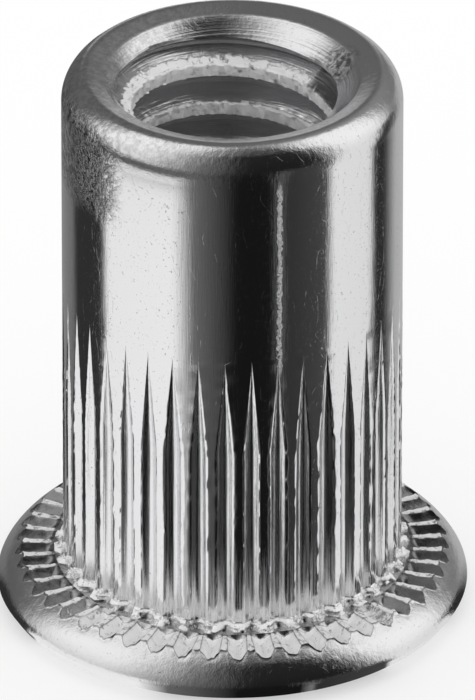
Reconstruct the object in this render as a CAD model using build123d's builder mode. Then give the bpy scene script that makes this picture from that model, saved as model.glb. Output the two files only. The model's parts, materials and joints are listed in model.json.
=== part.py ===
"""Knurled blind rivet nut with a wide flange, turned and cold formed from one piece of steel.

The nut stands on its flange with the threaded end up.  The origin is the centre of the
flange's bottom face and +Z is the nut's axis.  Lengths are in millimetres, angles in degrees.
"""
from build123d import *
from math import cos, radians, sin, tan
import os

os.makedirs("parts", exist_ok=True)

# ---- Shank: a straight round body between the flange and the rounded threaded end ----
body_d = 11.0
body_height = 17.55          # from the flange's upper face to the crest of the rim
foot_flare = 0.30            # cone where the shank grows out of the flange

# ---- Rim: a large outer rounding, then a shallow dish down to the countersink ----
rim_r = 1.13
rim_turn = 66.0              # how far the rounding turns in from the shank's side
dish_angle = 14.0            # fall of the dish from the crest towards the bore

# ---- Flange: a wide disc, bevelled and rounded above, turned under below ----
flange_d = 15.3
flange_t = 1.70
bevel_width = 0.45           # radial width of the cone outside the serrated ring
bevel_angle = 35.0           # fall of that cone
widest_z = 0.64              # height of the flange's widest circle above its bottom face
under_width = 0.26           # radial width of the steep cone below the widest circle
under_drop = 0.40            # fall of that cone
under_angle = 20.0           # rise of the shallow cone around the bottom face

# ---- Threaded end: bored to the minor diameter of a 5/16-18 unified coarse thread ----
thread_minor_d = 6.50
thread_end = 8.60            # from the crest of the rim down to the end of the thread
countersink_d = 8.25
countersink_angle = 90.0     # included

# ---- Crush zone: the thin wall that folds into a bulge when the nut is set ----
crush_d = 9.20
shoulder_angle = 118.0       # included, as the drill point leaves it
mouth_chamfer = 0.25

# ---- Knurl: straight V grooves up the shank that grip the drilled hole ----
knurl_count = 40
knurl_height = 9.85          # from the flange's upper face to the pointed tips
knurl_run_out = 3.40         # stretch over which a groove rises to nothing
knurl_depth = 0.25
knurl_angle = 96.0           # included
knurl_start = -2.4           # where the first groove stands around the axis

# ---- Serrations: radial V grooves on the flange that bite into the sheet ----
serration_count = 48
serration_depth = 0.29
serration_angle = 96.0       # included
serration_start = 1.4

# ---- Sizes that follow from the ones above ----
body_r = body_d / 2
flange_r = flange_d / 2
minor_r = thread_minor_d / 2
sink_r = countersink_d / 2
crush_r = crush_d / 2

edge_top_z = flange_t - bevel_width * tan(radians(bevel_angle))
edge_r = (edge_top_z - widest_z) / cos(radians(bevel_angle))
edge_top_r = flange_r - edge_r * (1 - sin(radians(bevel_angle)))
seat_r = edge_top_r - bevel_width
under_top_r = flange_r - under_width
under_top_z = widest_z - under_drop
bottom_r = under_top_r - under_top_z / tan(radians(under_angle))

top_z = flange_t + body_height
rim_foot_z = top_z - rim_r * sin(radians(rim_turn))
crest_r = body_r - rim_r * (1 - cos(radians(rim_turn)))
sink_top_z = top_z - (crest_r - sink_r) * tan(radians(dish_angle))
sink_foot_z = sink_top_z - (sink_r - minor_r) / tan(radians(countersink_angle / 2))
shoulder_top_z = top_z - thread_end
shoulder_foot_z = shoulder_top_z - (crush_r - minor_r) / tan(radians(shoulder_angle / 2))


def v_profile(reach, depth, angle, cover):
    """Corners of a V groove: its bottom lies depth below reach, its open side cover beyond it."""
    half_width = (depth + cover) * tan(radians(angle / 2))
    return [
        (reach - depth, 0),
        (reach + cover, half_width),
        (reach + cover, -half_width),
    ]


# ---- One knurl groove: a straight V, and the same V sliding outwards to its tip ----
knurl_cover = knurl_depth
run_out_path = Vector(knurl_depth, 0, knurl_run_out)

with BuildPart() as knurl_groove:
    with BuildSketch(Plane.XY.offset(flange_t)):
        Polygon(*v_profile(body_r, knurl_depth, knurl_angle, knurl_cover), align=None)
    extrude(amount=knurl_height - knurl_run_out)
    with BuildSketch(Plane.XY.offset(flange_t + knurl_height - knurl_run_out)):
        Polygon(*v_profile(body_r, knurl_depth, knurl_angle, knurl_cover), align=None)
    extrude(amount=run_out_path.length, dir=run_out_path.normalized())

# ---- One serration: a level V from the foot of the shank, which comes to a point in the bevel ----
serration_cover = serration_depth
serration_plane = Plane(origin=(body_r + foot_flare, 0, 0), x_dir=(0, 0, 1), z_dir=(1, 0, 0))

with BuildPart() as serration_groove:
    with BuildSketch(serration_plane):
        Polygon(*v_profile(flange_t, serration_depth, serration_angle, serration_cover), align=None)
    extrude(amount=flange_r - body_r - foot_flare)

# ---- The nut: one turned profile, then the two rolled patterns ----
with BuildPart() as rivet_nut:
    with BuildSketch(Plane.XZ):
        with BuildLine():
            Polyline(
                (crush_r + mouth_chamfer, 0),
                (bottom_r, 0),
                (under_top_r, under_top_z),
                (flange_r, widest_z),
            )
            TangentArc((flange_r, widest_z), (edge_top_r, edge_top_z), tangent=(0, 1))
            Polyline(
                (edge_top_r, edge_top_z),
                (seat_r, flange_t),
                (body_r + foot_flare, flange_t),
                (body_r, flange_t + foot_flare),
                (body_r, rim_foot_z),
            )
            TangentArc((body_r, rim_foot_z), (crest_r, top_z), tangent=(0, 1))
            Polyline(
                (crest_r, top_z),
                (sink_r, sink_top_z),
                (minor_r, sink_foot_z),
                (minor_r, shoulder_top_z),
                (crush_r, shoulder_foot_z),
                (crush_r, mouth_chamfer),
                (crush_r + mouth_chamfer, 0),
            )
        make_face()
    revolve(axis=Axis.Z)
    with PolarLocations(0, knurl_count, start_angle=knurl_start):
        add(knurl_groove.part, mode=Mode.SUBTRACT)
    with PolarLocations(0, serration_count, start_angle=serration_start):
        add(serration_groove.part, mode=Mode.SUBTRACT)

rivet_nut.part.label = "rivet_nut"
export_step(rivet_nut.part, "parts/rivet_nut.step")
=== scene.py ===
# %% [markdown]
# # A knurled blind rivet nut in bright plated steel
# A rivet nut puts a strong thread into a thin sheet.  It goes through a hole, flange against the sheet, and
# a tool pulls the threaded end towards the flange until the thin wall between them folds out and grips.
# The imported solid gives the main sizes.  This lesson makes a finer skin over it, with the thread, softened
# edges and the finish, and lights it as small bright metal parts are lit.

# %% Open the frame
import json
import math

import bpy
import numpy as np
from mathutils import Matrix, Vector


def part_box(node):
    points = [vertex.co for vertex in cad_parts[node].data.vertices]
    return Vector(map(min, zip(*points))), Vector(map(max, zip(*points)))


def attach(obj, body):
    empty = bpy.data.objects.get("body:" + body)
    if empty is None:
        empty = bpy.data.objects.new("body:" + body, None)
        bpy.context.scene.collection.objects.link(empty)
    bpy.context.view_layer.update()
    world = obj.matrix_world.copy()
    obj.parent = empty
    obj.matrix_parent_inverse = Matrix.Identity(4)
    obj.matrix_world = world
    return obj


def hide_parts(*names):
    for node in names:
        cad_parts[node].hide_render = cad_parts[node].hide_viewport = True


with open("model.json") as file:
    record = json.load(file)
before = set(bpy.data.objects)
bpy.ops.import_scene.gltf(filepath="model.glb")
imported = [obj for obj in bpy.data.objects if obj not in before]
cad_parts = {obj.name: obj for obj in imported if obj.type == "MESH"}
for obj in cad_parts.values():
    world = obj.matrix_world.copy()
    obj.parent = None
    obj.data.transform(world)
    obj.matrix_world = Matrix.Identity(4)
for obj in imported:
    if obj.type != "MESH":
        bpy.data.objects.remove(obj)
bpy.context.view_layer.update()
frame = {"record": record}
nut_low, nut_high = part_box("rivet_nut")
mm = 0.001
print("solid", [round(v / mm, 2) for v in nut_high - nut_low], "mm")

# %% [markdown]
# ## Sizes
# The frame and its mounts say where the shank, the thread, the bore and the seat are.  What they don't say,
# such as how the rim rolls over, is a named value here in millimetres.  Angles are in degrees.  A turn is
# measured from the front, and it grows to the right, counter-clockwise from above.

# %% Read the mounts
mounts = {mount["name"]: mount for mount in frame["record"]["mounts"]}


def mount_radius(name):
    return mounts[name]["dims"]["r_mm"]


def mount_z(name):
    return mounts[name]["pos_m"][2] / mm


top_z = nut_high.z / mm
flange_r = (nut_high.x - nut_low.x) / 2 / mm
shank_r = mount_radius("shank")
minor_r = mount_radius("thread")
crush_r = mount_radius("screw_clearance")
seat_z = mount_z("sheet_seat")
sink_foot_z = mount_z("thread") + mounts["thread"]["dims"]["length_mm"] / 2
shoulder_top_z = sink_foot_z - mounts["thread"]["dims"]["length_mm"]
print("shank", shank_r, "minor", minor_r, "bore", crush_r, "seat", seat_z, "top", round(top_z, 2))

# %% Name the sizes of the flange's edge
bevel_width = 0.45
bevel_angle = 35
widest_z = 0.64
under_width = 0.26
under_drop = 0.40
under_angle = 20


def tan(angle):
    return math.tan(math.radians(angle))


edge_top_z = seat_z - bevel_width * tan(bevel_angle)
edge_r = (edge_top_z - widest_z) / math.cos(math.radians(bevel_angle))
edge_top_r = flange_r - edge_r * (1 - math.sin(math.radians(bevel_angle)))
seat_r = edge_top_r - bevel_width
under_top_r = flange_r - under_width
under_top_z = widest_z - under_drop
bottom_r = under_top_r - under_top_z / tan(under_angle)
print("seat radius", round(seat_r, 3), "underside radius", round(bottom_r, 3))

# %% Name the sizes of the rim, the countersink and the bore
rim_r = 1.13
rim_turn = 66
dish_angle = 14
sink_r = 4.125
shoulder_angle = 118
mouth_chamfer = 0.25
rim_foot_z = top_z - rim_r * math.sin(math.radians(rim_turn))
crest_r = shank_r - rim_r * (1 - math.cos(math.radians(rim_turn)))
sink_top_z = top_z - (crest_r - sink_r) * tan(dish_angle)
shoulder_foot_z = shoulder_top_z - (crush_r - minor_r) / tan(shoulder_angle / 2)
print("rim foot", round(rim_foot_z, 3), "crest radius", round(crest_r, 3))

# %% [markdown]
# ## A skin made of rings
# A turned part could be a profile spun with a modifier, but the grooves, the serrations and the thread each
# want their own number of columns.  So the skin is a stack of rings that goes out under the flange, up the
# outside, over the rim and down the bore.  Equal rings join with quads, and unequal ones zip with triangles.


# %% Collect rings and the faces between them
class Skin:
    def __init__(self):
        self.points = []
        self.marks = []
        self.faces = []
        self.last = None

    def ring(self, turn, radius, z, painted_shade_and_dark_marks=0.0, frost_and_highlight=0.0):
        """Adds a ring of points, with the painted shade and the frosting, partly a painted highlight, on
        each, and joins it to the one before.
        """
        turn, radius, z, painted_shade_and_dark_marks, frost_and_highlight = np.broadcast_arrays(turn, radius, z, painted_shade_and_dark_marks, frost_and_highlight)
        self.marks.extend(zip(painted_shade_and_dark_marks, frost_and_highlight))
        first = len(self.points)
        self.points.extend(zip(radius * np.sin(turn), -radius * np.cos(turn), z))
        ring = (np.arange(first, first + len(turn)), turn)
        if self.last is not None:
            self.join(self.last, ring)
        self.last = ring

    def join(self, below, above):
        """Fills the gap between two rings.  Unequal rings advance on whichever side is behind."""
        (low, low_turn), (high, high_turn) = below, above
        if len(low) == len(high):
            self.faces.extend(zip(low, np.roll(low, -1), np.roll(high, -1), high))
            return
        low, high = np.append(low, low[0]), np.append(high, high[0])
        low_turn = np.append(low_turn, low_turn[0] + 2 * math.pi)
        high_turn = np.append(high_turn, high_turn[0] + 2 * math.pi)
        i = j = 0
        while i < len(low) - 1 or j < len(high) - 1:
            if j == len(high) - 1 or (i < len(low) - 1 and low_turn[i + 1] <= high_turn[j + 1]):
                self.faces.append((low[i], low[i + 1], high[j]))
                i += 1
            else:
                self.faces.append((low[i], high[j + 1], high[j]))
                j += 1


skin = Skin()
plain_turns = np.linspace(0, 2 * math.pi, 240, endpoint=False)
flange_turns = np.linspace(0, 2 * math.pi, 288, endpoint=False)
print("plain rings have", len(plain_turns), "columns, the flange's have", len(flange_turns))

# %% Soften the corners of a profile
bend_steps = (0, 0.25, 0.5, 0.75, 1)
# Two bends share a short side, so each takes a little less than half of it.
bends_per_side = 2.1


def softened(corners, radius):
    """The profile's points, with each inner corner turned into a small bend."""
    points = [np.array(corners[0], float)]
    for before, corner, after in zip(corners, corners[1:], corners[2:]):
        before, corner, after = (np.array(p, float) for p in (before, corner, after))
        way_in, way_out = before - corner, after - corner
        length_in, length_out = np.linalg.norm(way_in), np.linalg.norm(way_out)
        cut = min(radius, length_in / bends_per_side, length_out / bends_per_side)
        start = corner + way_in / length_in * cut
        end = corner + way_out / length_out * cut
        for t in bend_steps:
            points.append((1 - t) ** 2 * start + 2 * t * (1 - t) * corner + t * t * end)
    return points + [np.array(corners[-1], float)]


def arc(centre, radius, start, end, step=4):
    """Points of an arc in the profile, from one angle to another."""
    angles = np.radians(np.linspace(start, end, max(2, round(abs(end - start) / step))))
    return [(centre[0] + radius * math.cos(a), centre[1] + radius * math.sin(a)) for a in angles]


print("a bend has", len(bend_steps), "points")

# %% [markdown]
# ## Flange
# The flange is headed flat, and its edge is left round.  A bevel modifier would round every edge alike, so
# the edge is drawn as one curve instead, from the seat to the widest line.  A small bend finishes it below.

# %% Draw the round edge
roll_fullness = 0.62
foot_of_roll = np.array([seat_r, seat_z])
end_of_roll = np.array([flange_r, widest_z])
knee = np.array([flange_r, seat_z - (flange_r - seat_r) * tan(bevel_angle)])
first_handle = foot_of_roll + roll_fullness * (knee - foot_of_roll)
last_handle = end_of_roll + roll_fullness * (knee - end_of_roll)
share = np.linspace(0, 1, 60)[:, None]
roll = (1 - share) ** 3 * foot_of_roll + 3 * share * (1 - share) ** 2 * first_handle
roll = roll + 3 * share ** 2 * (1 - share) * last_handle + share ** 3 * end_of_roll
roll_r, roll_z = roll.T
print("roll from radius", round(float(roll_r[0]), 3), "to", round(float(roll_r[-1]), 3))

# %% Turn the underside and the outer part of the edge
under_bend = 0.12
# Outside this radius the edge is plain, and inside it the rings follow the serrations.
held_r = 7.34
plain_roll = roll[roll_r > held_r][::-2]
under = [(crush_r + mouth_chamfer, 0), (bottom_r, 0), (under_top_r, under_top_z), end_of_roll]
for r, z in softened(under, under_bend) + list(plain_roll[1:]):
    skin.ring(flange_turns, r, z)
print("roll of", len(plain_roll), "rings, rings so far", len(skin.points) // len(flange_turns))

# %% [markdown]
# ## Serrations
# The seat is bitten by radial serrations that keep the nut from turning in the sheet.  They run level, so
# each ends in a blunt tip where the edge falls away below it.  Cutting them with a boolean would leave long
# thin faces.  Here every ring of the seat has columns that follow the grooves, so the edges stay clean.


# %% Place the columns of a grooved ring
def both_sides(one_side):
    """Stations across a groove and the land beside it: nought is the groove's middle, one its edge."""
    one_side = np.array(one_side)
    return np.concatenate([one_side, -one_side[-2:0:-1]])


def grooved(count, start, stations, widens, half_width, radius):
    """Each column's turn and its angle from the middle of its groove.  Stations up to widens keep to the
    groove's width, and those past it spread over the land, whose middle is station two."""
    station = np.tile(stations, count)
    groove = np.repeat(np.arange(count), len(stations)) + (station < 0)
    near = np.arcsin(np.minimum(abs(station), widens) * half_width / radius)
    last = np.arcsin(widens * half_width / radius)
    away = near + np.maximum(abs(station) - widens, 0) / (2 - widens) * (math.pi / count - last)
    turn = math.radians(start) + groove * 2 * math.pi / count + np.sign(station) * away
    return turn, away


print("columns can follow any groove")

# %% Shape the bites and their tips
serration_count = 48
serration_start = 1.4
serration_depth = 0.29
serration_angle = 96
bite_stations = both_sides([0, 0.22, 0.46, 0.7, 0.88, 1, 1.14, 2])
bite_half = serration_depth * tan(serration_angle / 2)
# A power of one is a plain V, and a larger one rounds its bottom.
bite_roundness = 1.3
tip_reach = 0.30
tip_raggedness = 0.02
crease_width = 0.1
chance = np.random.default_rng(11)
station = np.tile(bite_stations, serration_count)
inside = np.minimum(abs(station), 1)
floor_z = seat_z - serration_depth * (1 - inside ** bite_roundness)
meets_roll_r = np.interp(seat_z - floor_z, seat_z - roll_z, roll_r)
tip_r = seat_r + tip_reach * np.tanh((meets_roll_r - seat_r) / tip_reach)
tip_r = tip_r + tip_raggedness * chance.normal(size=len(station))
on_land = abs(station) > 0.95
in_crease = np.exp(-((abs(station) - 1.0) / crease_width) ** 2)
print("serrations", serration_count, "bite width", round(2 * bite_half, 3), "mm")


# %% Run the edge in to the tips
def seat_ring(r, z, painted_shade_and_dark_marks=0.0, frost_and_highlight=0.0):
    turn, _ = grooved(serration_count, serration_start, bite_stations, 1, bite_half, r)
    skin.ring(turn, r, z, painted_shade_and_dark_marks, frost_and_highlight)


# The bite lifts a burr, and the edge is hollow just outside it. The ring at the tips gets painted shade, a
# dark shadow line under them.
burr = 0.03
hollow_fade = 3
for share in [1, 0.7, 0.45, 0.25, 0.1, 0]:
    r = tip_r + share * (held_r - tip_r)
    hollow = burr * np.exp(-share * hollow_fade) * (0 < share < 1)
    seat_ring(r, np.interp(r, roll_r, roll_z) - hollow, share == 0)
print("tips reach from radius", round(float(tip_r.min()), 2), "to", round(float(tip_r.max()), 2))

# %% Cut the bites in to the foot of the shank
foot_flare = 0.30
root_gap = 0.01
root_r = shank_r + foot_flare
floor_lumps = 0.014
root_fillet = 0.25
crease_depth = 0.02
# The front of the seat is frosted white, a painted highlight, with painted shade in its creases, and the rest
# has painted shade on its floors and pale lands.
# The cosine of a turn is one at the front, so it tells how far round a bite is.
front_edge = 0.45
front_fade = 0.3
bite_turn, _ = grooved(serration_count, serration_start, bite_stations, 1, bite_half, seat_r)
painted_lit_front = np.clip((np.cos(bite_turn) - front_edge) / front_fade, 0, 1)
seat_painted_shade = painted_lit_front * in_crease + 0.9 * (1 - painted_lit_front) * (1 - on_land)
seat_frost_and_highlight = np.where(on_land, 0.9, painted_lit_front)
for share in [1, 0.94, 0.82, 0.66, 0.5, 0.36, 0.25, 0.17, 0.1, 0.04, 0]:
    r = root_r + share * (tip_r - root_r)
    lumps = floor_lumps * chance.normal(size=len(station)) * (0.05 < share)
    fillet = (seat_z - floor_z) * max(0, 1 - share / root_fillet) ** 2
    raised = 0.6 * burr * share ** 8 - crease_depth * in_crease
    z = floor_z + lumps + fillet + raised * (share > 0)
    seat_ring(r, z, seat_painted_shade + 0.3 * (share < 0.08), seat_frost_and_highlight * (share > 0.04))
# The rings nearest the shank, and this last ring in the corner against it, get more painted shade.
seat_ring(root_r - root_gap, seat_z, 0.4)
print("seat's foot at radius", round(root_r, 2), "points so far", len(skin.points))

# %% [markdown]
# ## Knurl
# Forty grooves are rolled into the lower shank.  They grip once the wall has folded.  Where the rolling
# die lifts off, each one narrows to a point, and at the foot the pushed metal stands out in small beads.
# The solid has the grooves as plain Vs.  Rolled metal is rounder: a small flat floor, bowed sides and soft,
# slightly torn lips, and it is that section which sets the stripes of light and dark in every groove.


# %% Let a line wander
def wander(chance, rows, lines, reach):
    """Random numbers for each line, mostly within two of nought, smooth over some rows."""
    noise = chance.normal(size=(rows + 2 * reach, lines))
    window = np.hanning(2 * reach + 1)
    smooth = np.apply_along_axis(np.convolve, 0, noise, window, "valid")
    return smooth / smooth.std()


print("lines can wander")

# %% Shape a groove's section
groove_depth = 0.19
groove_half_angle = 55
groove_flat = 0.19
groove_bow = 0.15
groove_lip = 0.28


def groove_cut(across, depth):
    """How deep the rolled groove is at a share of its half width: a flat floor, bowed sides and soft lips."""
    down_side = np.clip((across - groove_flat) / (1 - groove_flat), 0, None)
    cut = depth * (1 - down_side + groove_bow * np.sin(math.pi * np.minimum(down_side, 1)))
    soft = groove_lip * depth
    blend = np.clip(0.5 + cut / (2 * soft), 0, 1)
    return cut * blend + soft * blend * (1 - blend)


print("groove width", round(2 * groove_depth * tan(groove_half_angle), 3), "mm")

# %% Set out the rows and columns of the knurl
knurl_count = 40
knurl_start = -2.4
knurl_height = 9.85
knurl_run_out = 3.40
knurl_top_z = seat_z + knurl_height
run_out_z = knurl_top_z - knurl_run_out
foot_rows = np.linspace(seat_z, seat_z + foot_flare, 6)
straight_rows = np.linspace(seat_z + foot_flare, run_out_z, 38)[1:]
run_out_rows = np.linspace(run_out_z, knurl_top_z, 29)[1:]
knurl_rows = np.concatenate([foot_rows, straight_rows, run_out_rows])
groove_stations = both_sides([0, 0.12, 0.24, 0.45, 0.68, 0.88, 1.05, 1.22, 1.4, 2])
lip_middle = 1.1
lip_half = 0.12
lip_end = 1.4
station = np.tile(groove_stations, knurl_count)
groove = np.mod(np.repeat(np.arange(knurl_count), len(groove_stations)) + (station < 0), knurl_count)
# Each groove has two lips, and each lip is torn and swells on its own.
lip = 2 * groove + (station < 0)
at_lip = np.exp(-((abs(station) - lip_middle) / lip_half) ** 2)
print("knurl", knurl_count, "grooves on", len(knurl_rows), "rings")

# %% Roll the knurl
least_groove = 0.02
width_sway = 0.03
depth_sway = 0.05
bead_sway = 0.25
lip_tear = 0.008
slope_share = 0.75
foot_cut = 0.4
chance = np.random.default_rng(5)
tears = wander(chance, len(knurl_rows), 2 * knurl_count, 1)
swells = wander(chance, len(knurl_rows), 2 * knurl_count, 14)
heft = 1 + depth_sway * chance.normal(size=knurl_count)
for z, tear, swell in zip(knurl_rows, tears, swells):
    pressed = np.clip((knurl_top_z - z) / knurl_run_out, least_groove, 1)
    depth = groove_depth * pressed * heft[groove]
    half_width = depth * tan(groove_half_angle) * (1 + width_sway * swell[lip])
    turn, away = grooved(knurl_count, knurl_start, groove_stations, lip_end, half_width, shank_r)
    cut = groove_cut(shank_r * np.sin(away) / half_width, depth)
    # Over the first foot_flare of height the wall swings out to the seat, and less so in the grooves.
    # The swing is part slope and part fillet.
    climb = min(1, (z - seat_z) / foot_flare)
    flare = slope_share * (1 - climb) ** 1.6 + (1 - slope_share) * math.sqrt(1 - climb ** 2)
    bead = foot_flare * flare * (1 + bead_sway * tear[lip])
    wall_r = shank_r - cut * (foot_cut + (1 - foot_cut) * climb) + bead * np.clip(1 - 0.6 * cut / depth, 0, 1)
    wall_r = np.minimum(wall_r, root_r - root_gap) + lip_tear * pressed * at_lip * tear[lip]
    at_foot = climb < 1
    # In the groove floors at the foot the skin gets painted shade, and less frosting.
    gap = at_foot * (climb < 0.5) * cut / depth
    skin.ring(turn, wall_r, z, 0.35 * gap, at_foot * (0.8 + 0.2 * tear[lip] - 0.3 * gap))
print("groove depths", round(groove_depth * heft.min(), 3), "to", round(groove_depth * heft.max(), 3), "mm")

# %% [markdown]
# ## Shank, rim and countersink
# Above the knurl the shank is plain.  Its end rolls in to a crest, falls a little in a dish and drops down
# a countersink to the thread.  These are surfaces of revolution, so plain rings are enough.  The rounded
# crest would come out lower than its corner, so the corner is drawn a little high.

# %% Turn the top
crest_lift = 0.04
crest_bend = 0.22
# The last points of the rim's arc give way to the bend over the crest.
rim_points_in_bend = 6
# The thread's wall ends just past its deepest cut, here and at the shoulder.
major_r = 3.97
past_thread = 0.01
for z in np.linspace(knurl_top_z + 0.1, rim_foot_z, 8):
    skin.ring(plain_turns, shank_r, z)
rim = arc((shank_r - rim_r, rim_foot_z), rim_r, 0, rim_turn)
thread_top_z = sink_top_z - (sink_r - major_r) + past_thread
thread_top_r = sink_r - (sink_top_z - thread_top_z)
over_rim = [
    rim[-rim_points_in_bend],
    (crest_r, top_z + crest_lift),
    (sink_r, sink_top_z),
    (thread_top_r, thread_top_z),
]
for r, z in [np.array(p) for p in rim[1:-rim_points_in_bend]] + softened(over_rim, crest_bend)[:-1]:
    skin.ring(plain_turns, r, z)
print("crest", round(crest_r, 3), "countersink", sink_r, "thread starts at", round(thread_top_z, 2))

# %% [markdown]
# ## Thread
# The thread is a coarse inch one.  A screw modifier would sweep its section, but then it has to be cut to
# the countersink.  Here the bore's wall is a grid instead.  Each row climbs with the helix, so that the
# crests stay crisp, and rows that would pass the thread's ends are held there.  The countersink and the
# shoulder cut it off: the wall is at the largest of the three radii.

# %% Shape one turn of the thread
pitch = 1.411
crest_width = 0.42
root_width = 0.16
flank = (pitch - crest_width - root_width) / 2
crest_at_front_z = 16.565
corner = 0.03
turn_z = np.cumsum([0, corner, crest_width - 2 * corner, corner, flank, root_width, flank])
turn_r = np.array([corner, 0, 0, corner, major_r - minor_r, major_r - minor_r, corner]) + minor_r
row_z = np.concatenate([
    turn_z[:4],
    turn_z[3] + flank * np.array([0.33, 0.67, 1]),
    turn_z[4] + root_width * np.array([0.5, 1]),
    turn_z[5] + flank * np.array([0.33, 0.67]),
    turn_z[1:2] + (turn_z[2] - turn_z[1]) * np.array([0.5]),
])
row_z = np.sort(row_z)
print("rows in one turn", len(row_z), "closing error", round(turn_z[-1] - pitch, 6))


# %% Cut the thread into the wall
def wall_inside_r(turn, z):
    """Radius of the bore's wall at a turn and a height."""
    place = np.mod(z - crest_at_front_z - pitch * turn / (2 * math.pi), pitch)
    thread_r = np.interp(place, turn_z, turn_r)
    sink = sink_r - (sink_top_z - z)
    shoulder = minor_r + (shoulder_top_z - z) * tan(shoulder_angle / 2)
    return np.maximum(thread_r, np.maximum(sink, shoulder))


thread_foot_z = shoulder_top_z - (major_r - minor_r) / tan(shoulder_angle / 2) - past_thread
turns_down = math.ceil((crest_at_front_z - thread_foot_z) / pitch) + 1
turns_in_all = turns_down + math.ceil((thread_top_z - crest_at_front_z) / pitch) + 1
rows = (crest_at_front_z + pitch * (np.arange(turns_in_all)[:, None] - turns_down) + row_z).ravel()
climb = pitch * plain_turns / (2 * math.pi)
grid_z = np.clip(rows[:, None] + climb, thread_foot_z, thread_top_z)
grid_r = wall_inside_r(plain_turns, grid_z)
print("thread from", round(thread_foot_z, 2), "to", round(thread_top_z, 2), "mm,", len(rows), "rows")


# %% Tear its crests and darken its start
def within(values, low, high):
    return (values > low) & (values < high)


# The tap tore the crests.  On the turn whose crest passes crest_at_front_z it also tore the flank above,
# part of the way round.  Just before that tear a wedge of the thread is darker, and a thin darker line runs
# on above.
tear_depth = 0.026
torn_crest = 0.1
torn_flank_top = 0.95
torn_flank_r = 3.72
dark_wedge = (0.42, 1.1)
dark_line = 1.0
dark_line_half = 0.06
around = np.degrees(plain_turns)
in_wedge = within(around, 92, 132)
past_wedge = within(around, 132, 300)
tear = np.random.default_rng(3).normal(size=grid_r.shape)
above_crest = grid_z - crest_at_front_z - climb
flank_above = within(above_crest, 0, torn_flank_top) & (grid_r < torn_flank_r)
torn = (grid_r < minor_r + torn_crest) & (grid_z < sink_foot_z) | flank_above & past_wedge
darkened = within(above_crest, *dark_wedge) & in_wedge
darkened = darkened | (abs(above_crest - dark_line) < dark_line_half) & past_wedge
grid_r = grid_r + tear_depth * tear * torn
print("torn", int(torn.sum()), "darkened", int(darkened.sum()), "of", grid_r.size, "points")

# %% Join the grid along the helix
first = len(skin.points)
x = grid_r * np.sin(plain_turns)
y = -grid_r * np.cos(plain_turns)
skin.points.extend(zip(x.ravel(), y.ravel(), grid_z.ravel()))
skin.marks.extend(zip(0.9 * darkened.ravel(), 0.94 * (torn & ~darkened).ravel()))
ids = first + np.arange(grid_z.size).reshape(grid_z.shape)
# Past the last column a row goes on as the row one pitch higher.
later = np.minimum(np.arange(len(rows)) + len(row_z), len(rows) - 1)
next_column = np.column_stack([ids[:, 1:], ids[later, 0]])
for low_row, high_row, low_next, high_next in zip(ids, ids[1:], next_column, next_column[1:]):
    skin.faces.extend(zip(low_row, high_row, high_next, low_next))
print("thread has", ids.size, "points")

# %% Close the skin down the shoulder and the bore
bore_bend = 0.08
skin.ring(plain_turns, thread_top_r, thread_top_z)
skin.last = None
thread_foot_r = float(wall_inside_r(0.0, np.array(thread_foot_z)))
bore = [
    (thread_foot_r, thread_foot_z),
    (crush_r, shoulder_foot_z),
    (crush_r, mouth_chamfer),
    (crush_r + mouth_chamfer, 0),
]
for r, z in softened(bore, bore_bend)[:-1]:
    skin.ring(plain_turns, r, z)
skin.ring(flange_turns, crush_r + mouth_chamfer, 0)
print("points", len(skin.points), "faces", len(skin.faces))

# %% [markdown]
# ## One closed mesh
# The thread's held rows pile up at its ends, so points that coincide are merged, and what is left is one
# closed skin.  Sharper edges stay crisp, and normals weighted by face keep the flats between them flat.

# %% Make the mesh, with the wear and the painted shade marked on its points
import bmesh

same_point = 0.0005 * mm
no_length = 0.0004 * mm
mesh = bpy.data.meshes.new("rivet_nut_skin")
mesh.from_pydata((np.array(skin.points) * mm).tolist(), [], [tuple(map(int, f)) for f in skin.faces])
marks = np.zeros((len(skin.points), 4))
marks[:, :2] = np.clip(skin.marks, 0, 1)
mesh.color_attributes.new("wear", "FLOAT_COLOR", "POINT").data.foreach_set("color", marks.ravel())
shape = bmesh.new()
shape.from_mesh(mesh)
bmesh.ops.remove_doubles(shape, verts=shape.verts, dist=same_point)
bmesh.ops.dissolve_degenerate(shape, edges=shape.edges, dist=no_length)
shape.to_mesh(mesh)
open_count = sum(len(edge.link_faces) != 2 for edge in shape.edges)
volume = shape.calc_volume() / mm ** 3
shape.free()
print("open edges", open_count, "volume", round(volume, 1), "mm3")

# %% Make the nut
crisp_angle = 30
mesh.shade_smooth()
mesh.set_sharp_from_angle(angle=math.radians(crisp_angle))
nut = bpy.data.objects.new("rivet_nut_skin", mesh)
bpy.context.scene.collection.objects.link(nut)
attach(nut, "root")
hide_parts("rivet_nut")
normals = nut.modifiers.new("face weighted normals", "WEIGHTED_NORMAL")
normals.keep_sharp = True
mesh.calc_loop_triangles()
print("triangles", len(mesh.loop_triangles))

# %% [markdown]
# ## Shader arithmetic
# A finish is easier to read as sums than as boxes and wires.  A Wire holds one output of a node, and
# arithmetic on it adds Math nodes.  A Finish adds every other node.


# %% Write shader maths as expressions
class Wire:
    def __init__(self, finish, socket):
        self.finish = finish
        self.socket = socket

    def maths(self, operation, *values):
        settings = {"operation": operation}
        return self.finish.add("ShaderNodeMath", settings, dict(enumerate(values)))

    def __add__(self, other):
        return self.maths("ADD", self, other)

    def __sub__(self, other):
        return self.maths("SUBTRACT", self, other)

    def __rsub__(self, other):
        return self.maths("SUBTRACT", other, self)

    def __mul__(self, other):
        return self.maths("MULTIPLY", self, other)

    def __abs__(self):
        return self.maths("ABSOLUTE", self)

    def between(self, low, high):
        """Zero below low, one above high and smooth between them."""
        values = {"Value": self, "From Min": low, "From Max": high}
        settings = {"interpolation_type": "SMOOTHSTEP"}
        return self.finish.add("ShaderNodeMapRange", settings, values)

    def between_mm(self, low, high):
        """The same for a length, with low and high in millimetres."""
        return self.between(low * mm, high * mm)

    __radd__ = __add__
    __rmul__ = __mul__


print("wires can be added, subtracted and multiplied")


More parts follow.
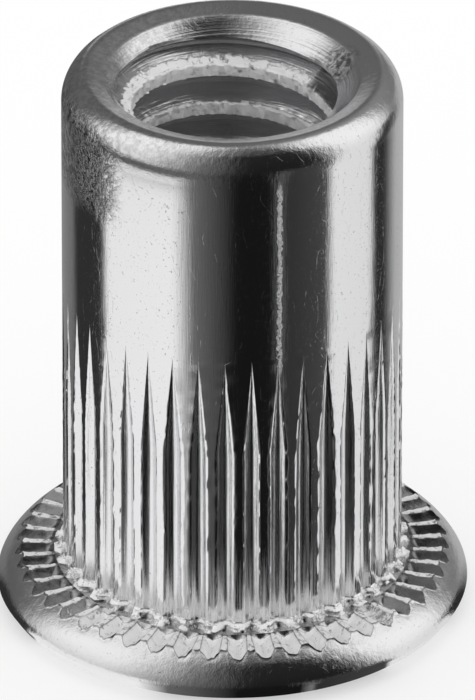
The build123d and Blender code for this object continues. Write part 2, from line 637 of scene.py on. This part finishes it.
# %% Collect the nodes of a finish
class Finish:
    def __init__(self, name):
        self.material = bpy.data.materials.new(name)
        self.material.use_nodes = True
        self.tree = self.material.node_tree
        self.shader = self.tree.nodes["Principled BSDF"]

    def fill(self, node, values):
        for key, value in values.items():
            if isinstance(value, Wire):
                self.tree.links.new(value.socket, node.inputs[key])
            else:
                node.inputs[key].default_value = value

    def add(self, kind, settings, values, output=0):
        node = self.tree.nodes.new(kind)
        for key, value in settings.items():
            setattr(node, key, value)
        self.fill(node, values)
        return Wire(self, node.outputs[output])

    def vector(self, operation, first, second, output="Vector"):
        settings = {"operation": operation}
        return self.add("ShaderNodeVectorMath", settings, {0: first, 1: second}, output)

    def noise(self, place, scale, detail=2.0, roughness=0.5):
        """Noise whose scale can differ along the three axes, which draws it out into streaks."""
        spot = self.vector("MULTIPLY", place, scale)
        values = {"Vector": spot, "Scale": 1.0, "Detail": detail, "Roughness": roughness}
        return self.add("ShaderNodeTexNoise", {}, values, "Fac")

    def bump(self, height, micrometres, under=None):
        values = {"Height": height, "Distance": micrometres * 1e-6, "Strength": 1.0}
        if under is not None:
            values["Normal"] = under
        return self.add("ShaderNodeBump", {}, values)

    def mix(self, factor, first, second):
        """The first colour where the factor is nought, and the second where it is one."""
        values = {"Factor": factor, 6: first, 7: second}
        return self.add("ShaderNodeMix", {"data_type": "RGBA"}, values, 2)


print("finishes are ready to mix")

# %% [markdown]
# ## Plated steel
# Zinc plating over cold formed steel is bright but not a mirror.  The drawn shank carries fine scratches
# along its length, which smear reflections sideways.  Rolled grooves, serrations and cut threads are
# rougher, with small pits and torn specks.  Scratches this fine are too small to model, so they are bump.
# Where each kind of wear and painted shade lies comes from masks: most follow from the height and the
# distance from the axis, and the marks on the skin's points give the painted shade, the darker marks in the
# thread and the frosting, which at the front of the seat is also a painted highlight.

# %% Find out where a point of the surface is
plated = Finish("plated_steel")
place = plated.add("ShaderNodeTexCoord", {}, {}, "Object")
right = plated.add("ShaderNodeSeparateXYZ", {}, {0: place}, "X")
back = plated.add("ShaderNodeSeparateXYZ", {}, {0: place}, "Y")
up = plated.add("ShaderNodeSeparateXYZ", {}, {0: place}, "Z")
flat_place = plated.vector("MULTIPLY", place, (1, 1, 0))
out = plated.add("ShaderNodeVectorMath", {"operation": "LENGTH"}, {0: flat_place}, "Value")
left = right * -1
front = back * -1
# The red mark is painted shade, with darker marks in the thread, and the green one is frosting, at the seat's
# front also a painted highlight.
wear = plated.add("ShaderNodeAttribute", {"attribute_name": "wear"}, {}, "Color")
painted_shade_and_dark_marks = plated.add("ShaderNodeSeparateColor", {}, {0: wear}, "Red")
frost_and_highlight = plated.add("ShaderNodeSeparateColor", {}, {0: wear}, "Green")
print("place and marks take", len(plated.tree.nodes), "nodes")

# %% Make the noises
streaks = plated.noise(place, (13000, 13000, 200), detail=3.0, roughness=0.7)
scratches = plated.noise(place, (30000, 30000, 900), detail=2.0, roughness=0.6)
grain = plated.noise(place, (11000, 11000, 11000), detail=4.0, roughness=0.65)
mottle = plated.noise(place, (4200, 4200, 4200), detail=4.0, roughness=0.7)
waves = plated.noise(place, (700, 700, 300))
curls = plated.noise(place, (1500, 1500, 600), detail=1.0)
rings = plated.add("ShaderNodeCombineXYZ", {}, {"X": out, "Z": up})
tool_marks = plated.noise(rings, (16000, 16000, 16000))
pits = grain.between(0.62, 0.72)
specks = mottle.between(0.38, 0.62)
hairs = (1 - abs(curls - 0.5).between(0.001, 0.007)) * mottle.between(0.45, 0.6)
print("with noises", len(plated.tree.nodes), "nodes")

# %% Mark the formed places
below_knurl_top = 1 - up.between_mm(knurl_top_z - 0.2, knurl_top_z)
off_land = 1 - out.between_mm(shank_r - 0.05, shank_r - 0.01)
outside = out.between_mm(4.95, 5.05)
in_groove = off_land * outside * below_knurl_top
on_seat = 1 - up.between_mm(seat_z + 0.10, seat_z + 0.35)
bitten = on_seat * outside * (1 - out.between_mm(seat_r + 0.3, seat_r + 0.5))
in_bore = 1 - out.between_mm(4.1, 4.3)
on_crest = 1 - out.between_mm(minor_r + 0.03, minor_r + 0.12)
on_flange = 1 - up.between_mm(1.5, 1.6)
on_rim = up.between_mm(rim_foot_z - 0.3, rim_foot_z + 0.3)
formed = (on_flange + on_rim) * (1 - bitten)
near_foot = (1 - up.between_mm(2, 5)) * up.between_mm(1.7, 1.9) * outside
print("with formed places", len(plated.tree.nodes), "nodes")

# %% Mark the worn places, the painted highlight and the painted shade
# Frosted metal where the skin is marked with it, which at the front of the seat is a painted highlight, a
# scuff on the left of the rim, a pitted spot beside the countersink, speckled painted shade on the left of
# the rim and, down the front, the thin seam of the drawn bar.
seam_turn = math.radians(16)
seam_sway = 0.28
pitted_spot = (3.48 * mm, 1.40 * mm, 18.6 * mm)
frosted_and_painted_light = (0.5 * frost_and_highlight + mottle).between(0.78, 0.94)
from_spot = plated.vector("DISTANCE", place, pitted_spot, "Value")
pitted = (1 - from_spot.between_mm(0.35, 0.95)) * specks
rim_painted_shade = up.between_mm(17.9, 18.5) * left.between_mm(0, 3) * specks
scuffed = left.between_mm(3.3, 4.7) * up.between_mm(15.3, 16.6)
scuffed = scuffed * (1 - up.between_mm(18.5, 19.1)) * specks
off_seam = right * math.cos(seam_turn) + back * math.sin(seam_turn) + (mottle - 0.5) * seam_sway * mm
seam = (1 - abs(off_seam).between_mm(0.03, 0.11)) * front.between_mm(0, 1) * grain.between(0.35, 0.6)
seam = seam * up.between_mm(knurl_top_z - 1, knurl_top_z) * (1 - up.between_mm(17.6, 18.4))
print("with worn places", len(plated.tree.nodes), "nodes")

# %% Stack the bumps, from the broadest to the finest
wavy = plated.bump(waves, 8)
scratched = plated.bump(scratches + 0.8 * hairs, 1.6, wavy)
streaked = plated.bump(streaks * in_groove, 12, scratched)
turned = plated.bump(tool_marks * in_bore, 16, streaked)
rough_places = 1.4 * formed + 1.5 * bitten + 2.0 * on_crest + 2.5 * scuffed + 3.5 * pitted + 2.5 * seam
rough_places = rough_places + 3.0 * frosted_and_painted_light
peened = plated.bump(mottle * rough_places, 9, turned)
grainy = 0.06 + 0.3 * in_groove + 0.5 * bitten + 0.3 * in_bore + 0.8 * scuffed + 0.8 * seam
surface = plated.bump(grain * grainy - 0.15 * pits, 9, peened)
print("with bumps", len(plated.tree.nodes), "nodes")

# %% Finish the plated steel
steel_colour = (0.84, 0.84, 0.85, 1)
grime_and_shade_colour = (0.10, 0.10, 0.10, 1)
frost_and_highlight_colour = (0.95, 0.95, 0.95, 1)
# Pits, the scuff and the pitted spot darken the metal's own colour. The marked creases, floors, tips and
# corners of the seat and knurl and the left of the rim are painted shade, and the thread's marked wedge and
# line are darker.
grime_and_painted_shade = pits * 0.5 + painted_shade_and_dark_marks * 0.85 + scuffed * 0.7 + pitted * 0.9 + rim_painted_shade * 0.25
grimy_and_shaded = plated.mix(grime_and_painted_shade, steel_colour, grime_and_shade_colour)
colour = plated.mix(frosted_and_painted_light * (1 - painted_shade_and_dark_marks), grimy_and_shaded, frost_and_highlight_colour)
# Torn metal scatters light instead of mirroring it, which a lower Metallic stands for. At the front of the
# seat the frosting is also a painted highlight.
scattering = 0.9 * frosted_and_painted_light + 0.25 * seam + 0.45 * near_foot * streaks.between(0.42, 0.62)
roughness = 0.11 + 0.07 * in_groove + 0.12 * bitten + 0.06 * in_bore + 0.2 * on_crest
plated.fill(plated.shader, {
    "Metallic": 1 - scattering,
    "Base Color": colour,
    "Roughness": roughness + 0.07 * formed * mottle,
    "Normal": surface,
})
mesh.materials.append(plated.material)
print("plated steel has", len(plated.tree.nodes), "nodes")

# %% [markdown]
# ## Studio
# Bright metal shows only what stands round it.  A white room alone would make it flat and pale, so dark
# cards stand where the real one mirrors darkness.  They are seen in the metal alone: they throw no shadow
# and the lens never sees them.  The floor is white, and half lit from within for the lens alone, so that
# the nut's soft shadow stays but is faint.


# %% Light the white room
def flat_finish(name, colour):
    finish = Finish(name)
    finish.fill(finish.shader, {"Base Color": colour, "Roughness": 1.0, "Specular IOR Level": 0.0})
    return finish


pure_white = (1, 1, 1, 1)
world = bpy.data.worlds.new("white_room")
world.use_nodes = True
world.node_tree.nodes["Background"].inputs["Color"].default_value = pure_white
world.node_tree.nodes["Background"].inputs["Strength"].default_value = 1.0
bpy.context.scene.world = world
print("world", world.name)

# %% Lay the floor
floor_half = 1500 * mm
own_light = 0.5
floor_corners = [(-1, -1), (1, -1), (1, 1), (-1, 1)]
floor_mesh = bpy.data.meshes.new("floor")
floor_mesh.from_pydata(
    [(x * floor_half, y * floor_half, nut_low.z) for x, y in floor_corners],
    [],
    [(0, 1, 2, 3)],
)
floor_finish = flat_finish("white_floor", pure_white)
glow = floor_finish.add("ShaderNodeEmission", {}, {"Color": pure_white, "Strength": 1.0})
seen = floor_finish.add("ShaderNodeLightPath", {}, {}, "Is Camera Ray")
shaded = Wire(floor_finish, floor_finish.shader.outputs["BSDF"])
lit = floor_finish.add("ShaderNodeMixShader", {}, {0: seen * own_light, 1: shaded, 2: glow})
floor_finish.tree.links.new(lit.socket, floor_finish.tree.nodes["Material Output"].inputs["Surface"])
floor_mesh.materials.append(floor_finish.material)
floor = bpy.data.objects.new("floor", floor_mesh)
bpy.context.scene.collection.objects.link(floor)
print("floor", 2 * floor_half, "m across")

# %% Make a card whose tone can change across it
card_finish = Finish("card_tone")
card_tone = card_finish.add("ShaderNodeAttribute", {"attribute_name": "tone"}, {}, "Color")
card_finish.fill(card_finish.shader, {
    "Base Color": (0, 0, 0, 1),
    "Specular IOR Level": 0.0,
    "Emission Color": card_tone,
    "Emission Strength": 1.0,
})


def card(name, points, tones):
    """A card from a grid of points, seen only in the metal."""
    rows, columns = points.shape[:2]
    ids = np.arange(rows * columns).reshape(rows, columns)
    quads = np.stack([ids[:-1, :-1], ids[:-1, 1:], ids[1:, 1:], ids[1:, :-1]], -1).reshape(-1, 4)
    card_mesh = bpy.data.meshes.new(name)
    card_mesh.from_pydata(points.reshape(-1, 3).tolist(), [], quads.tolist())
    paint = card_mesh.color_attributes.new("tone", "FLOAT_COLOR", "POINT")
    for dab, tone in zip(paint.data, np.broadcast_to(tones, (rows, columns)).ravel()):
        dab.color = (tone, tone, tone, 1)
    card_mesh.materials.append(card_finish.material)
    made = bpy.data.objects.new(name, card_mesh)
    bpy.context.scene.collection.objects.link(made)
    made.visible_camera = False
    made.visible_diffuse = False
    made.visible_shadow = False
    made.visible_transmission = False


print("cards are ready to place")

# %% [markdown]
# ## A card on the floor
# Seen from above, an upright wall mirrors the floor.  A stripe of the wall at one turn mirrors a straight
# strip of floor that leaves the wall at twice that turn.  Painting those strips gives stripes that run
# straight up the shank.  On the left the bright paper ends a little way out and a dark one goes on, because
# the rim mirrors the floor farther out than the wall does.

# %% Name the stripes on the wall
# Each pair is a turn on the wall, in degrees, and the tone that the wall mirrors there.
stripes = [
    (-90, 0.30), (-69, 0.16), (-66, 0.03), (-49, 0.03), (-47.6, 0.92), (-20, 0.95), (-13.5, 0.14),
    (1, 0.008), (14, 0.008), (16.4, 0.20), (17.6, 0.03), (34, 0.06), (35.2, 0.85), (54, 0.80),
    (55.5, 0.02), (63, 0.03), (72, 0.45), (90, 0.50),
]
stripe_turns, stripe_tones = np.array(stripes).T
stripe_turns = np.radians(stripe_turns)
print("wall has", len(stripes), "stripes")

# %% Lay the striped card round the nut
paper_left = 33
paper_fade = 4
card_reach = 450
past_paper_tone = 0.13
card_z = 0.02
turns = np.radians(np.linspace(-89, 89, 357))
reach = np.array([0, paper_left, paper_left + paper_fade, card_reach])[:, None]
strip = np.stack([
    shank_r * np.sin(turns) + reach * np.sin(2 * turns),
    -shank_r * np.cos(turns) - reach * np.cos(2 * turns),
    np.full((len(reach), len(turns)), card_z),
], -1)
tones = np.tile(np.interp(turns, stripe_turns, stripe_tones), (len(reach), 1))
past_paper = (reach > paper_left) & (turns < 0)
card("floor_stripes", strip * mm, np.where(past_paper, np.minimum(tones, past_paper_tone), tones))
print("striped card with", len(turns), "strips")

# %% [markdown]
# ## A tent of soft stripes
# Over the floor stands a tent, and the rim, which faces every way, mirrors all of it.  Its tone changes
# mostly with the turn, so bright and dark lie over the rim in soft bands.  Separate lamps would be simpler,
# but they would show in the metal as spots.

# %% Name the tent's stripes
# Each row is a turn in degrees, the tone near the floor and the tone overhead.
tent_stripes = [
    (-180, 0.10, 0.10),
    (-118, 0.12, 0.25),
    (-99, 0.82, 0.92),
    (-60, 0.75, 0.95),
    (-24, 0.16, 0.50),
    (5, 0.012, 0.16),
    (60, 0.012, 0.15),
    (76, 0.86, 0.22),
    (112, 0.88, 0.17),
    (127, 0.20, 0.22),
    (152, 0.18, 0.20),
    (180, 0.10, 0.10),
]
stripe_turn, low_tone, high_tone = np.array(tent_stripes).T
print("tent has", len(tent_stripes), "stripes, brightest", low_tone.max())

# %% Pitch the tent
tent_r = 440
overhead_from = 60
overhead_blend = 22
# The low tones grow a little brighter as they climb.
climb_from = 8
climb_blend = 25
climb_gain = 0.25
# A low lamp stands behind the nut.
lamp_tone = 0.45
lamp_top = 24
lamp_blend = 10
lamp_from_turn = 164
tent_turn = np.linspace(-180, 180, 181)
tent_rise = np.linspace(-1, 90, 62)[:, None]
overhead = np.clip((tent_rise - overhead_from) / overhead_blend, 0, 1)
climbing = 1 + climb_gain * np.clip((tent_rise - climb_from) / climb_blend, 0, 1)
low = np.interp(tent_turn, stripe_turn, low_tone)
high = np.interp(tent_turn, stripe_turn, high_tone)
back_lamp = lamp_tone * np.clip((lamp_top - tent_rise) / lamp_blend, 0, 1) * (abs(tent_turn) > lamp_from_turn)
low = np.maximum(np.minimum(low * climbing, 1), back_lamp)
tent = low + (high - low) * overhead
t, e = np.radians(tent_turn), np.radians(tent_rise)
tent_points = np.stack([np.cos(e) * np.sin(t), -np.cos(e) * np.cos(t), np.sin(e) + 0 * t], -1)
card("tent", tent_points * tent_r * mm, tent)
print("tent is", round(float((tent > 0.5).mean()), 2), "bright")

# %% [markdown]
# ## Camera
# Small parts are shot from far away through a long lens, so that upright walls stay upright.  From close
# by, the shank would taper and the flange, which is farther off, would look too small.

# %% Set the camera
lens_mm = 1000
sensor_mm = 36
# How much the longer side of the picture takes in, in millimetres.
picture_height = 22.646
camera_rise = math.radians(29.6)
aim_right = 0.168
aim_below_top = 10.28
camera_data = bpy.data.cameras.new("camera")
camera_data.lens = lens_mm
camera_data.sensor_width = sensor_mm
camera_data.clip_start = 0.01
camera_data.clip_end = 10
aim = Vector((aim_right, 0, top_z - aim_below_top)) * mm
away = picture_height * camera_data.lens / camera_data.sensor_width * mm
towards_camera = Vector((0, -math.cos(camera_rise), math.sin(camera_rise)))
camera = bpy.data.objects.new("camera", camera_data)
camera.location = aim + towards_camera * away
camera.rotation_mode = "QUATERNION"
camera.rotation_quaternion = towards_camera.to_track_quat("Z", "Y")
bpy.context.scene.collection.objects.link(camera)
bpy.context.scene.camera = camera
bpy.context.scene.view_settings.view_transform = "Standard"
print("camera", round(away, 3), "m away")
